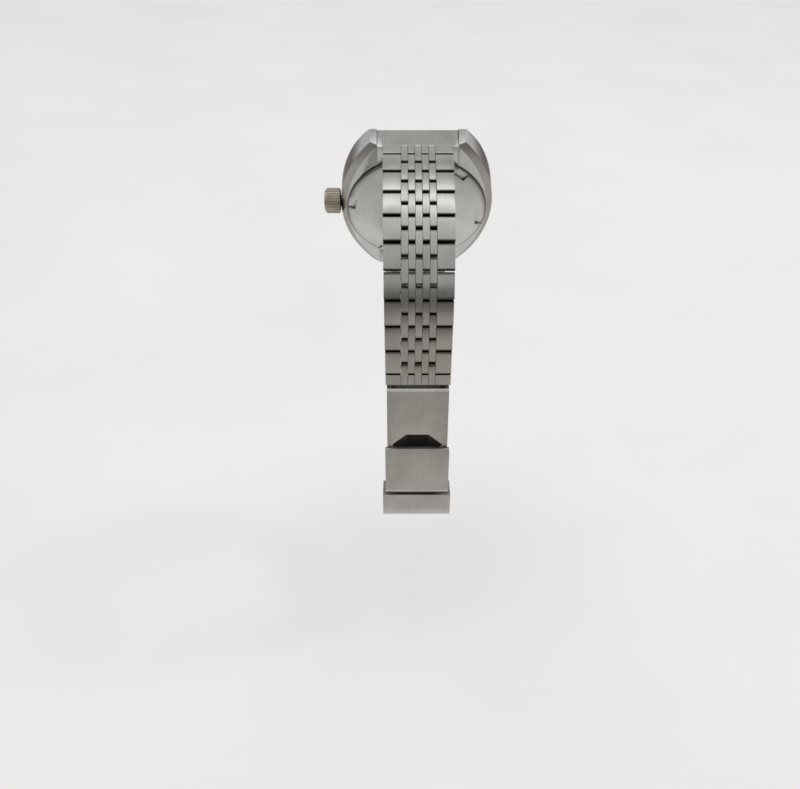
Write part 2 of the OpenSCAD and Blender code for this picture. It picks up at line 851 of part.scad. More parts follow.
module inner_blade() {
    corner = 1;
    foot = arc_centre[0] + end_arc_r + 0.2;
    color(satin) in_clasp() difference() {
        intersection() {
            union() {
                across(end_w) end_shell();
                for (side = [-1, 1]) translate([side * (end_w - end_wall) / 2, 0, 0])
                    across(end_wall) end_cheek();
                translate([-end_w / 2, end_start, inner_z]) cube([end_w, end_straight, blade_t]);
                translate([-blade_w / 2, hinge2[0] + 1.2, inner_z])
                    cube([blade_w, end_start - hinge2[0], blade_t]);
                for (side = [-1, 1]) translate([side * (knuckle_x + blade_w / 2) / 2, 0, 0])
                    across(blade_w / 2 - knuckle_x) {
                        translate(hinge2) circle(barrel_r);
                        translate([hinge2[0], inner_z]) square([3, blade_t]);
                    }
            }
            translate([0, 0, -1]) linear_extrude(12) union() {
                translate([-end_w / 2, -2]) square([end_w, foot - corner + 2]);
                translate([corner - end_w / 2, 0]) square([end_w - 2 * corner, foot]);
                for (side = [-1, 1]) translate([side * (end_w / 2 - corner), foot - corner])
                    circle(corner);
            }
        }
        translate([0, hinge2[0], hinge2[1]]) rod(hinge_pin_r + fit, blade_w + 2);
        translate([0, ear_at[0], ear_at[1]]) rod(pin_r + fit, end_w + 2);
        translate([-1.6, hinge2[0] + 6, 0]) cube([3.2, 17, 10]);
    }
}

mid_case();
bezel();
crystal();
chapter_ring();
dial();
hour_markers();
hour_hand();
minute_hand();
second_hand();
movement_ring();
mainplate();
train_bridge();
barrel();
centre_wheel();
third_wheel();
fourth_wheel();
escape_wheel();
balance_wheel();
rotor();
crown();
stem();
caseback();
seals();
lug_spring_bars();
end_link_12();
end_link_6();
clasp_cover();
safety_flap();
outer_blade();
inner_blade();
for (k = [0 : rows12 - 1]) row12(k);
for (k = [0 : units6 - 1]) unit6(k);
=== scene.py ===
"""Dresses the automatic watch: steel finishes, softened edges, dial detail, studio and camera.

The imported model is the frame. Every length is in metres in the model's own axes: +Z up, the clasp
on the -Y side, the dial facing +Y and 25 degrees up, the crown on the -X side.
"""

import json
import logging
import math
from dataclasses import dataclass, field
from enum import Enum
from typing import Optional, Sequence, Union

import bpy
import numpy as np
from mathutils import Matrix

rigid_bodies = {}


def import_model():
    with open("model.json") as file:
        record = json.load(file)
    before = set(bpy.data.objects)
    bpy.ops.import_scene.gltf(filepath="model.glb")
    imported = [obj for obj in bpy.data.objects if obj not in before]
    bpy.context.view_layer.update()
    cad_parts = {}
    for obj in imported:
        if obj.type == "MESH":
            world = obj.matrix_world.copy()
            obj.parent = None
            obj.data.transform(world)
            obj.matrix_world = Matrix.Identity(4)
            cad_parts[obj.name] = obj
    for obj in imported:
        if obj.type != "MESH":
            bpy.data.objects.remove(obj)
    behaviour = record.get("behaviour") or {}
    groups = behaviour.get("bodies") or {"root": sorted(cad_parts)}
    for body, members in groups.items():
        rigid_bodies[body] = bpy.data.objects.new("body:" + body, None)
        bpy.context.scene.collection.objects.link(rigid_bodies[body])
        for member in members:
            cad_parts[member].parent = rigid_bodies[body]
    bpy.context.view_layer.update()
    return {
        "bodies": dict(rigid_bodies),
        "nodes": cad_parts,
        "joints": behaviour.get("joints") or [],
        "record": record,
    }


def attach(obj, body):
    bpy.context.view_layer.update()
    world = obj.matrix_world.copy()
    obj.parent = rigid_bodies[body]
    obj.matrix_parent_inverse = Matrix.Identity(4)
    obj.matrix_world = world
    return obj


LOG = logging.getLogger("watch")
MM = 0.001

Vec3 = tuple[float, float, float]
Rgb = tuple[float, float, float]
Socket = bpy.types.NodeSocket
Operand = Union[float, Socket]
Stops = Sequence[tuple[float, Rgb]]

WHITE: Rgb = (1.0, 1.0, 1.0)

# Reflectance of the strap's steel where it is clean and where it is dulled
STEEL: Rgb = (0.63, 0.62, 0.60)
DULL_STEEL: Rgb = (0.50, 0.49, 0.47)


class Grain(Enum):
    """Which way the fine lines of a brushed surface run."""

    NONE = "none"
    ALONG_STRAP = "along_strap"
    ACROSS_STRAP = "across_strap"
    ROUND_DIAL = "round_dial"
    RAYS_FROM_DIAL = "rays_from_dial"


@dataclass(frozen=True)
class DialFrame:
    """The dial's own axes in the model's: x to 3 o'clock, y to 12, z out of the dial.

    Attributes:
        tilt: height of the dial's normal above the horizontal, in degrees.
    """

    tilt: float = 25.0

    @property
    def matrix(self) -> np.ndarray:
        """Columns are the dial's three axes, as a 3 by 3 array."""
        c, s = math.cos(math.radians(self.tilt)), math.sin(math.radians(self.tilt))
        return np.array([[-1.0, 0.0, 0.0], [0.0, -s, c], [0.0, c, s]])

    def to_world(self, points: np.ndarray) -> np.ndarray:
        """Turns points from the dial's axes into the model's; the last axis holds x, y and z."""
        return points @ self.matrix.T


@dataclass(frozen=True)
class Pattern:
    """A noise stretched along its own axes.

    Attributes:
        cycles: cycles per metre along each axis.
        detail: octaves.
        turn: turn of the pattern, in radians.
    """

    cycles: Vec3
    detail: float = 3.0
    turn: Vec3 = (0.0, 0.0, 0.0)

    @classmethod
    def even(cls, cycles: float, detail: float = 3.0) -> "Pattern":
        """A noise with the same cycles per metre along every axis."""
        return cls((cycles, cycles, cycles), detail)


class NodeSheet:
    """A node tree with short calls for the nodes that the finishes share."""

    # How strongly each octave of a noise counts against the one before it
    OCTAVE_SHARE = 0.55

    def __init__(self, owner: Union[bpy.types.Material, bpy.types.World]) -> None:
        """Starts from an empty tree.

        Args:
            owner: the material or the world whose tree is built.
        """
        owner.use_nodes = True
        self.owner = owner
        self.tree = owner.node_tree
        self.tree.nodes.clear()

    @classmethod
    def of_material(cls, name: str) -> "NodeSheet":
        """The sheet of a new material."""
        return cls(bpy.data.materials.new(name))

    def add(self, kind: str, **values: object) -> bpy.types.Node:
        """Adds a node and sets its properties or, by socket name, its inputs.

        Args:
            kind: the node's type without the ShaderNode prefix.
            values: property names, or socket names with spaces as underscores.

        Returns:
            The new node.
        """
        node = self.tree.nodes.new("ShaderNode" + kind)
        for key, value in values.items():
            if hasattr(node, key):
                setattr(node, key, value)
            else:
                node.inputs[key.replace("_", " ")].default_value = value
        return node

    def link(self, source: Socket, target: Socket) -> None:
        """Joins two sockets."""
        self.tree.links.new(source, target)

    def feed(self, node: bpy.types.Node, *sources: Operand) -> Socket:
        """Fills a node's first inputs in order.

        Args:
            node: the node.
            sources: sockets to join, or numbers to set.

        Returns:
            The node's first output.
        """
        for slot, source in zip(node.inputs, sources):
            if isinstance(source, Socket):
                self.link(source, slot)
            else:
                slot.default_value = source
        return node.outputs[0]

    def math(self, operation: str, *operands: Operand) -> Socket:
        """A math node; each operand is a number or a socket."""
        return self.feed(self.add("Math", operation=operation), *operands)

    def weighted(self, start: float, *terms: tuple[Socket, float]) -> Socket:
        """A number plus the sum of each value times its weight.

        Args:
            start: the number.
            terms: values and their weights.

        Returns:
            The sum's socket.
        """
        total: Operand = start
        for value, weight in terms:
            total = self.math("ADD", total, self.math("MULTIPLY", value, weight))
        return total

    def point(self) -> Socket:
        """The piece's Object coordinates."""
        return self.add("TexCoord").outputs["Object"]

    def dot(self, vector: Socket, axis: Vec3) -> Socket:
        """The length of a vector along an axis.

        Args:
            vector: the vector.
            axis: a unit vector.

        Returns:
            The dot product's socket.
        """
        node = self.add("VectorMath", operation="DOT_PRODUCT")
        node.inputs[1].default_value = axis
        self.link(vector, node.inputs[0])
        return node.outputs["Value"]

    def noise(self, vector: Socket, pattern: Pattern) -> Socket:
        """Noise of about 0 to 1.

        Args:
            vector: the coordinates.
            pattern: how the noise is stretched and turned.

        Returns:
            The noise value's socket.
        """
        mapping = self.add("Mapping", Scale=pattern.cycles, Rotation=pattern.turn)
        self.link(vector, mapping.inputs["Vector"])
        noise = self.add("TexNoise", Scale=1.0, Detail=pattern.detail, Roughness=self.OCTAVE_SHARE)
        self.link(mapping.outputs[0], noise.inputs["Vector"])
        return noise.outputs[0]

    def ramp(self, value: Socket, stops: Stops) -> Socket:
        """A colour ramp.

        Args:
            value: what it reads.
            stops: positions and colours, in rising order.

        Returns:
            The colour's socket.
        """
        node = self.add("ValToRGB")
        while len(node.color_ramp.elements) < len(stops):
            node.color_ramp.elements.new(1.0)
        for element, (place, colour) in zip(node.color_ramp.elements, stops):
            element.position = place
            element.color = (*colour, 1.0)
        return self.feed(node, value)

    def multiply(self, first: Socket, second: Socket) -> Socket:
        """The product of two colours."""
        return self.feed(self.add("MixRGB", blend_type="MULTIPLY"), 1.0, first, second)

    def dial_coordinates(self, frame: DialFrame) -> tuple[Socket, Socket]:
        """Radius from the dial's axis and angle round it.

        The dial's x and y are the dot products of the point with the dial's own axes.

        Args:
            frame: the dial's axes.

        Returns:
            The sockets of the radius, in metres, and of the angle, in radians.
        """
        point = self.point()
        x, y = (self.dot(point, tuple(frame.matrix[:, column])) for column in (0, 1))
        squares = (self.math("MULTIPLY", part, part) for part in (x, y))
        radius = self.math("SQRT", self.math("ADD", *squares))
        return radius, self.math("ARCTAN2", y, x)

    def bump(self, height: Socket, strength: float, depth: float,
             facing: Optional[Socket] = None) -> Socket:
        """A bumped normal.

        Args:
            height: the relief.
            strength: how much of it shows, 0 to 1.
            depth: its depth in metres.
            facing: the normal it starts from, or none for the mesh's own.

        Returns:
            The normal's socket.
        """
        node = self.add("Bump", Strength=strength, Distance=depth)
        self.link(height, node.inputs["Height"])
        if facing is not None:
            self.link(facing, node.inputs["Normal"])
        return node.outputs[0]

    def principled(self, colour: Socket, rough: Socket, normal: Optional[Socket] = None,
                   **values: float) -> bpy.types.Material:
        """Adds the surface shader and joins it to the output.

        Args:
            colour: base colour.
            rough: roughness.
            normal: the bumped normal, or none for a plain surface.
            values: the shader's other inputs, with spaces as underscores.

        Returns:
            The sheet's material.
        """
        shader = self.add("BsdfPrincipled", **values)
        self.link(colour, shader.inputs["Base Color"])
        self.link(rough, shader.inputs["Roughness"])
        if normal is not None:
            self.link(normal, shader.inputs["Normal"])
        self.link(shader.outputs[0], self.add("OutputMaterial").inputs["Surface"])
        return self.owner


@dataclass(frozen=True)
class SteelFinish:
    """Bare metal with a grain, smudges, hairline scratches, darker worn patches and painted shade
    in gaps and corners.

    Attributes:
        name: the material's name.
        light: reflectance where the metal is clean.
        dark: reflectance where it is dulled.
        roughness: mean roughness.
        grain: which way the brushing runs.
        grain_depth: strength of the brushing in bump and roughness, 0 to 1.
        scratch: strength of the hairlines, 0 to 1.
        gap_shade: how dark the painted shade in gaps and corners is, 0 to 1.
        reach: how far the painted shade spreads out of a gap, in metres.
        ring: radius of a darker ring at a joint round the dial's axis, in metres.
        frame: the dial's axes.
    """

    name: str
    light: Rgb
    dark: Rgb
    roughness: float
    grain: Grain = Grain.NONE
    grain_depth: float = 0.4
    scratch: float = 0.3
    gap_shade: float = 0.85
    reach: float = 0.9 * MM
    ring: Optional[float] = None
    frame: DialFrame = field(default_factory=DialFrame)

    # Cycles of the brushing per metre, across its lines, along them and without a direction
    ACROSS = 9000.0
    ALONG = 160.0
    PLAIN = 2600.0
    # Its cycles per radian round the dial, for rays and for rings
    RAYS = 110.0
    RINGS = 3.0

    BLOTCHES = Pattern.even(210.0, 4.0)
    SMEARS = Pattern((70.0, 320.0, 120.0), 2.0, (0.3, 0.5, 0.8))
    HAIRLINES = (Pattern((140.0, 7000.0, 7000.0), 1.0, (0.4, 0.3, 0.5)),
                 Pattern((7600.0, 130.0, 6900.0), 1.0, (0.2, 0.9, -0.4)))
    # A hairline shows where its noise is above this
    HAIR_LEVEL = 0.745

    # The metal's colour follows the blotches by this share and the grain by the rest
    BLOTCH_SHARE = 0.6
    DULL_BELOW = 0.32
    LIGHT_ABOVE = 0.58

    # Roughness starts this far under its mean, and each mark adds its own share
    ROUGHNESS_DROP = 0.12
    GRAIN_ROUGHNESS = 0.16
    SMEAR_ROUGHNESS = 0.2
    HAIR_ROUGHNESS = 0.12
    # Strength and depth of the bump
    RELIEF = (0.35, 0.02 * MM)

    # The painted shade is full where this share of the surroundings is in view, and ends at the
    # second
    GAP_VIEW = 0.4
    OPEN_VIEW = 0.86
    GAP_SAMPLES = 8
    # The darker ring at the joint is darkest up to the first distance and ends at the second, in
    # millimetres
    RING_STOPS = ((0.12, (0.34, 0.33, 0.32)), (0.6, WHITE))

    def grain_value(self, sheet: NodeSheet, point: Socket) -> Socket:
        """The brushing's noise: long along the grain and fine across it.

        Args:
            sheet: the material's nodes.
            point: Object coordinates.

        Returns:
            The noise value's socket.
        """
        if self.grain in (Grain.ROUND_DIAL, Grain.RAYS_FROM_DIAL):
            radius, angle = sheet.dial_coordinates(self.frame)
            if self.grain is Grain.RAYS_FROM_DIAL:
                places = ((angle, self.RAYS), (radius, self.ALONG))
            else:
                places = ((radius, self.ACROSS), (angle, self.RINGS))
            scaled = [sheet.math("MULTIPLY", value, cycles) for value, cycles in places]
            return sheet.noise(sheet.feed(sheet.add("CombineXYZ"), *scaled), Pattern.even(1.0))
        patterns = {
            Grain.ALONG_STRAP: Pattern((self.ACROSS, self.ALONG, self.ALONG)),
            Grain.ACROSS_STRAP: Pattern((self.ALONG, self.ACROSS, self.ACROSS)),
            Grain.NONE: Pattern.even(self.PLAIN),
        }
        return sheet.noise(point, patterns[self.grain])

    def shade_and_joint_colour(self, sheet: NodeSheet, point: Socket) -> Socket:
        """White where the metal is open, darker with painted shade in gaps and corners, and darker
        along the joint ring where one is set.

        Args:
            sheet: the material's nodes.
            point: Object coordinates; not used here.

        Returns:
            The colour's socket.
        """
        # Painted shade: the colour darkens in gaps and corners, where the ambient occlusion finds
        # other surfaces near
        gap = sheet.add("AmbientOcclusion", samples=self.GAP_SAMPLES, Distance=self.reach)
        stops = [(self.GAP_VIEW, (1.0 - self.gap_shade,) * 3), (self.OPEN_VIEW, WHITE)]
        gap_darkening = sheet.ramp(gap.outputs["AO"], stops)
        if self.ring is None:
            return gap_darkening
        radius = sheet.dial_coordinates(self.frame)[0]
        away = sheet.math("ABSOLUTE", sheet.math("SUBTRACT", radius, self.ring))
        return sheet.multiply(gap_darkening, sheet.ramp(sheet.math("DIVIDE", away, MM), self.RING_STOPS))

    def facing(self, sheet: NodeSheet, point: Socket) -> Optional[Socket]:
        """The surface normal that the bump starts from, or none for the mesh's own."""
        return None

    def material(self) -> bpy.types.Material:
        """Builds the material.

        Returns:
            The material, with roughness and bump from its nodes.
        """
        sheet = NodeSheet.of_material(self.name)
        point = sheet.point()
        grain = self.grain_value(sheet, point)
        blotch = sheet.noise(point, self.BLOTCHES)
        smear = sheet.noise(point, self.SMEARS)
        hair = sheet.math("MAXIMUM", *(sheet.noise(point, lines) for lines in self.HAIRLINES))
        hairs = sheet.math("GREATER_THAN", hair, self.HAIR_LEVEL)
        worn = sheet.weighted(0.0, (blotch, self.BLOTCH_SHARE), (grain, 1.0 - self.BLOTCH_SHARE))
        colour = sheet.ramp(worn, [(self.DULL_BELOW, self.dark), (self.LIGHT_ABOVE, self.light)])
        rough = sheet.weighted(self.roughness - self.ROUGHNESS_DROP,
                               (grain, self.GRAIN_ROUGHNESS * self.grain_depth),
                               (smear, self.SMEAR_ROUGHNESS),
                               (hairs, self.HAIR_ROUGHNESS * self.scratch))
        height = sheet.weighted(0.0, (grain, self.grain_depth), (hairs, -self.scratch))
        normal = sheet.bump(height, *self.RELIEF, self.facing(sheet, point))
        # The metal's colour takes the painted shade of gaps and corners
        shaded_colour = sheet.multiply(colour, self.shade_and_joint_colour(sheet, point))
        return sheet.principled(shaded_colour, rough, normal, Metallic=1.0)


@dataclass(frozen=True)
class LinkFinish(SteelFinish):
    """Satin steel of one strap row, crowned along the strap and darkened at both ends with painted
    shade.

    A point's place on the link is s = (point - middle) . along. The crown turns the normal by
    s / crown, and the painted shade of the gaps between links starts where |s| passes the unshaded
    share of the half length.

    Attributes:
        middle: the link's middle, in metres.
        along: unit vector down the strap.
        half: half of the link's length, in metres.
        crown: radius of the crowned face, in metres.
        unshaded_share: share of the half length that stays free of painted shade.
    """

    middle: Vec3 = (0.0, 0.0, 0.0)
    along: Vec3 = (0.0, 0.0, -1.0)
    half: float = 2.86 * MM
    crown: float = 38.0 * MM
    unshaded_share: float = 0.84

    # The painted shade of the gap grows over this share of the half length, to a darkness that is
    # deepest at the end
    END_SHADE_WIDTH = 0.1
    END_SHADE = (0.3, 0.28, 0.27)
    DEEP_END_SHADE = (0.12, 0.11, 0.1)
    # The painted shade's edge wanders by this share of the half length
    RAGGED = Pattern.even(1500.0, 2.0)
    RAGGED_SHARE = 0.05

    def place(self, sheet: NodeSheet, point: Socket) -> Socket:
        """The point's place along the link, s, in metres."""
        start = float(np.dot(self.middle, self.along))
        return sheet.math("SUBTRACT", sheet.dot(point, self.along), start)

    def shade_and_joint_colour(self, sheet: NodeSheet, point: Socket) -> Socket:
        """The painted shade in corners times the painted shade at the link's two ends.

        Args:
            sheet: the material's nodes.
            point: Object coordinates.

        Returns:
            The colour's socket.
        """
        # Painted shade: the link darkens towards both ends, where the gaps between links lie in
        # shade
        away = sheet.math("DIVIDE", sheet.math("ABSOLUTE", self.place(sheet, point)), self.half)
        ragged = sheet.math("MULTIPLY", sheet.noise(point, self.RAGGED), self.RAGGED_SHARE)
        shaded_from = self.unshaded_share + self.END_SHADE_WIDTH
        stops = [(self.unshaded_share, WHITE), (shaded_from, self.END_SHADE), (1.0, self.DEEP_END_SHADE)]
        ends = sheet.ramp(sheet.math("ADD", away, ragged), stops)
        return sheet.multiply(super().shade_and_joint_colour(sheet, point), ends)

    def facing(self, sheet: NodeSheet, point: Socket) -> Optional[Socket]:
        """The mesh's normal, turned along the strap by the crown.

        The result is (normal + along * s / crown), brought to unit length.

        Args:
            sheet: the material's nodes.
            point: Object coordinates.

        Returns:
            The normal's socket.
        """
        lean = sheet.add("VectorMath", operation="SCALE")
        lean.inputs[0].default_value = self.along
        lift = sheet.math("DIVIDE", self.place(sheet, point), self.crown)
        sheet.link(lift, lean.inputs["Scale"])
        turned = sheet.feed(sheet.add("VectorMath", operation="ADD"),
                            sheet.add("NewGeometry").outputs["Normal"], lean.outputs[0])
        return sheet.feed(sheet.add("VectorMath", operation="NORMALIZE"), turned)


@dataclass(frozen=True)
class SunburstPaint:
    """Silvered dial paint with fine rays from the centre."""

    name: str = "silvered_dial"
    frame: DialFrame = field(default_factory=DialFrame)

    RAYS_PER_RADIAN = 60.0
    STOPS = ((0.3, (0.55, 0.55, 0.53)), (0.7, (0.78, 0.78, 0.75)))
    METAL_SHARE = 0.7
    SMOOTHEST = 0.26
    RAY_ROUGHNESS = 0.2
    # Strength and depth of the bump
    RELIEF = (0.2, 0.02 * MM)

    def material(self) -> bpy.types.Material:
        """Builds the material: rays in colour, roughness and bump.

        Returns:
            The material.
        """
        sheet = NodeSheet.of_material(self.name)
        angle = sheet.dial_coordinates(self.frame)[1]
        turned = sheet.math("MULTIPLY", angle, self.RAYS_PER_RADIAN)
        rays = sheet.noise(sheet.feed(sheet.add("CombineXYZ"), turned), Pattern.even(1.0, 4.0))
        normal = sheet.bump(rays, *self.RELIEF)
        rough = sheet.weighted(self.SMOOTHEST, (rays, self.RAY_ROUGHNESS))
        colour = sheet.ramp(rays, self.STOPS)
        return sheet.principled(colour, rough, normal, Metallic=self.METAL_SHARE)


@dataclass(frozen=True)
class ClearCrystal:
    """Domed mineral glass with faint smears."""

    name: str = "crystal_glass"

    SMEARS = Pattern((120.0, 90.0, 150.0))
    STOPS = ((0.3, (0.94, 0.96, 0.96)), (0.7, (0.98, 0.99, 0.99)))
    # The glass is fully smooth where the smears' noise is under this, and roughens above it
    SMOOTH_BELOW = 0.45
    SMEAR_ROUGHNESS = 0.12
    IOR = 1.5

    def material(self) -> bpy.types.Material:
        """Builds the material: clear transmission whose roughness varies with old smears.

        Returns:
            The material.
        """
        sheet = NodeSheet.of_material(self.name)
        smear = sheet.noise(sheet.point(), self.SMEARS)
        above = sheet.math("SUBTRACT", smear, self.SMOOTH_BELOW)
        rough = sheet.math("MULTIPLY", above, self.SMEAR_ROUGHNESS)
        colour = sheet.ramp(smear, self.STOPS)
        return sheet.principled(colour, rough, IOR=self.IOR, Transmission_Weight=1.0)


@dataclass(frozen=True)
class SealRubber:
    """Dark moulded rubber."""

    name: str = "seal_rubber"

    SPECKS = Pattern.even(1800.0)
    STOPS = ((0.3, (0.02, 0.02, 0.02)), (0.7, (0.045, 0.045, 0.042)))
    SMOOTHEST = 0.45
    SPECK_ROUGHNESS = 0.3
    # Strength and depth of the bump
    RELIEF = (0.3, 0.03 * MM)

    def material(self) -> bpy.types.Material:
        """Builds the material: near black with a fine moulded bump.

        Returns:
            The material.
        """
        sheet = NodeSheet.of_material(self.name)
        speck = sheet.noise(sheet.point(), self.SPECKS)
        normal = sheet.bump(speck, *self.RELIEF)
        rough = sheet.weighted(self.SMOOTHEST, (speck, self.SPECK_ROUGHNESS))
        return sheet.principled(sheet.ramp(speck, self.STOPS), rough, normal)


class SurfaceGroups:
    """The two small geometry-node groups that every metal piece shares."""

    # Corners nearer than this are one, in metres, and flatter edges than this are shaded smooth
    SAME_CORNER = 2e-7
    SMOOTH_DEGREES = 32.0

    def __init__(self) -> None:
        """Builds both groups once."""
        self.joined = self._joined()
        self.smooth = self._smooth()

    @staticmethod
    def _group(name: str) -> tuple[bpy.types.NodeTree, bpy.types.Node, bpy.types.Node]:
        """A group with one geometry in and one geometry out.

        Args:
            name: the group's name.

        Returns:
            The tree, its input node and its output node.
        """
        tree = bpy.data.node_groups.new(name, "GeometryNodeTree")
        tree.interface.new_socket("Geometry", in_out="INPUT", socket_type="NodeSocketGeometry")
        tree.interface.new_socket("Geometry", in_out="OUTPUT", socket_type="NodeSocketGeometry")
        return tree, tree.nodes.new("NodeGroupInput"), tree.nodes.new("NodeGroupOutput")

    def _joined(self) -> bpy.types.NodeTree:
        """Joins loose triangles at shared corners and drops their stored normals.

        Returns:
            The group.
        """
        tree, start, end = self._group("joined_faces")
        merge = tree.nodes.new("GeometryNodeMergeByDistance")
        merge.inputs["Distance"].default_value = self.SAME_CORNER
        drop = tree.nodes.new("GeometryNodeRemoveAttribute")
        drop.inputs["Name"].default_value = "custom_normal"
        tree.links.new(start.outputs[0], merge.inputs["Geometry"])
        tree.links.new(merge.outputs[0], drop.inputs["Geometry"])
        tree.links.new(drop.outputs[0], end.inputs[0])
        return tree

    def _smooth(self) -> bpy.types.NodeTree:
        """Shades faces smoothly across the flatter edges.

        Returns:
            The group.
        """
        tree, start, end = self._group("smooth_by_angle")
        angle = tree.nodes.new("GeometryNodeInputMeshEdgeAngle")
        flat = tree.nodes.new("FunctionNodeCompare")
        flat.operation = "LESS_THAN"
        flat.inputs[1].default_value = math.radians(self.SMOOTH_DEGREES)
        faces = tree.nodes.new("GeometryNodeSetShadeSmooth")
        edges = tree.nodes.new("GeometryNodeSetShadeSmooth")
        edges.domain = "EDGE"
        tree.links.new(angle.outputs["Unsigned Angle"], flat.inputs[0])
        tree.links.new(start.outputs[0], faces.inputs["Geometry"])
        tree.links.new(faces.outputs[0], edges.inputs["Geometry"])
        tree.links.new(flat.outputs[0], edges.inputs["Shade Smooth"])
        tree.links.new(edges.outputs[0], end.inputs[0])
        return tree


@dataclass(frozen=True)
class EdgeWork:
    """How a piece's edges are softened.

    Attributes:
        width: bevel width in metres; 0 leaves the edges sharp.
        segments: faces across each softened edge.
        angle: edges steeper than this, in degrees, are softened.
        flat: neighbouring triangles within this angle, in degrees, become one face first.
    """

    width: float = 0.06 * MM
    segments: int = 2
    angle: float = 38.0
    flat: float = 0.4

    def apply(self, obj: bpy.types.Object, groups: SurfaceGroups) -> None:
        """Adds the modifiers to a piece made of loose triangles.

        Args:
            obj: the piece.
            groups: the shared geometry-node groups.
        """
        joined = obj.modifiers.new("joined", "NODES")
        joined.node_group = groups.joined
        if self.width > 0.0:
            flat = obj.modifiers.new("flat_faces", "DECIMATE")
            flat.decimate_type = "DISSOLVE"
            flat.angle_limit = math.radians(self.flat)
            bevel = obj.modifiers.new("edge_break", "BEVEL")
            bevel.width = self.width
            bevel.segments = self.segments
            bevel.limit_method = "ANGLE"
            bevel.angle_limit = math.radians(self.angle)
            bevel.use_clamp_overlap = True
        smooth = obj.modifiers.new("smooth", "NODES")
        smooth.node_group = groups.smooth


class Edges(Enum):
    """The kinds of edge that the watch has."""

    SHARP = EdgeWork(0.0)
    FINE = EdgeWork(0.02 * MM)
    USUAL = EdgeWork()
    SOFT = EdgeWork(0.16 * MM, 3)


def corners_of(obj: bpy.types.Object) -> np.ndarray:
    """The corners of a piece's mesh, one per row, in metres."""
    return np.array([vertex.co for vertex in obj.data.vertices])


def grid_faces(number: np.ndarray) -> np.ndarray:
    """Faces between the neighbouring corners of a grid.

    Args:
        number: the corners' numbers, in rows and columns.

    Returns:
        One face per row: a corner, its right neighbour, the one across and the one below.
    """
    corners = (number[:-1, :-1], number[:-1, 1:], number[1:, 1:], number[1:, :-1])
    return np.stack(corners, axis=-1).reshape(-1, 4)


def mesh_piece(name: str, points: np.ndarray, faces: np.ndarray,
               material: bpy.types.Material) -> bpy.types.Object:
    """Makes a mesh object from arrays.

    Args:
        name: the piece's name.
        points: corners in the model's axes, in metres, with x, y and z on the last axis.
        faces: corner numbers of each face, counter-clockwise from outside.
        material: its finish.

    Returns:
        The new object.
    """
    mesh = bpy.data.meshes.new(name)
    mesh.from_pydata(points.reshape(-1, 3).tolist(), [], faces.tolist())
    mesh.materials.append(material)
    mesh.update()
    made = bpy.data.objects.new(name, mesh)
    bpy.context.scene.collection.objects.link(made)
    LOG.info("%s: %d faces", name, len(faces))
    return made


class FinishBook:
    """Every finish of the watch, built once and given out by short name."""

    # Reflectances, each where the metal is clean and where it is dulled
    PALE = ((0.70, 0.70, 0.69), (0.57, 0.57, 0.56))
    WARM = ((0.60, 0.55, 0.47), (0.44, 0.39, 0.32))
    BRASS = ((0.78, 0.56, 0.28), (0.55, 0.38, 0.17))
    RHODIUM = ((0.62, 0.61, 0.59), (0.47, 0.46, 0.44))
    BRIGHT = ((0.72, 0.71, 0.69), (0.60, 0.59, 0.57))
    # SHADED is the strap's steel painted darker, as painted shade for the clasp's blades
    SHADED = (DULL_STEEL, (0.32, 0.31, 0.29))
    PLAIN = (STEEL, DULL_STEEL)

    # Radius of the joint between the caseback and the case
    BACK_JOINT = 17.2 * MM

    def build(self) -> dict[str, bpy.types.Material]:
        """Builds the materials.

        Returns:
            The materials by short name.
        """
        down, across = Grain.ALONG_STRAP, Grain.ACROSS_STRAP
        rings, rays = Grain.ROUND_DIAL, Grain.RAYS_FROM_DIAL
        finishes = {
            "links": SteelFinish("satin_links", *self.PLAIN, 0.26, down),
            "case": SteelFinish("satin_case", *self.PALE, 0.27, across, reach=1.2 * MM),
            "back": SteelFinish("turned_back", *self.PALE, 0.30, rings, grain_depth=0.6,
                                reach=1.4 * MM, ring=self.BACK_JOINT),
            "polished": SteelFinish("polished_steel", *self.PLAIN, 0.15, grain_depth=0.1,
                                    scratch=0.2),
            "clasp": SteelFinish("satin_clasp", *self.PLAIN, 0.30, down, grain_depth=0.6,
                                 scratch=0.5),
            # The outer blade and the sheet in its slot take steel painted darker, as painted shade
            "inside": SteelFinish("satin_inside", *self.SHADED, 0.36, down),
            "crown": SteelFinish("warm_crown", *self.WARM, 0.26, grain_depth=0.3),
            "brass": SteelFinish("gilt_brass", *self.BRASS, 0.24, rings),
            "plate": SteelFinish("grained_plate", *self.RHODIUM, 0.30, rays, grain_depth=0.5),
            "rotor": SteelFinish("brushed_rotor", *self.RHODIUM, 0.25, rings, grain_depth=0.6),
            "works": SteelFinish("works_steel", *self.RHODIUM, 0.22),
            "trim": SteelFinish("bright_trim", *self.BRIGHT, 0.14, grain_depth=0.1, scratch=0.1),
            "dial": SunburstPaint(),
            "glass": ClearCrystal(),
            "rubber": SealRubber(),
        }
        made = {key: finish.material() for key, finish in finishes.items()}
        LOG.info("%d finishes", len(made))
        return made


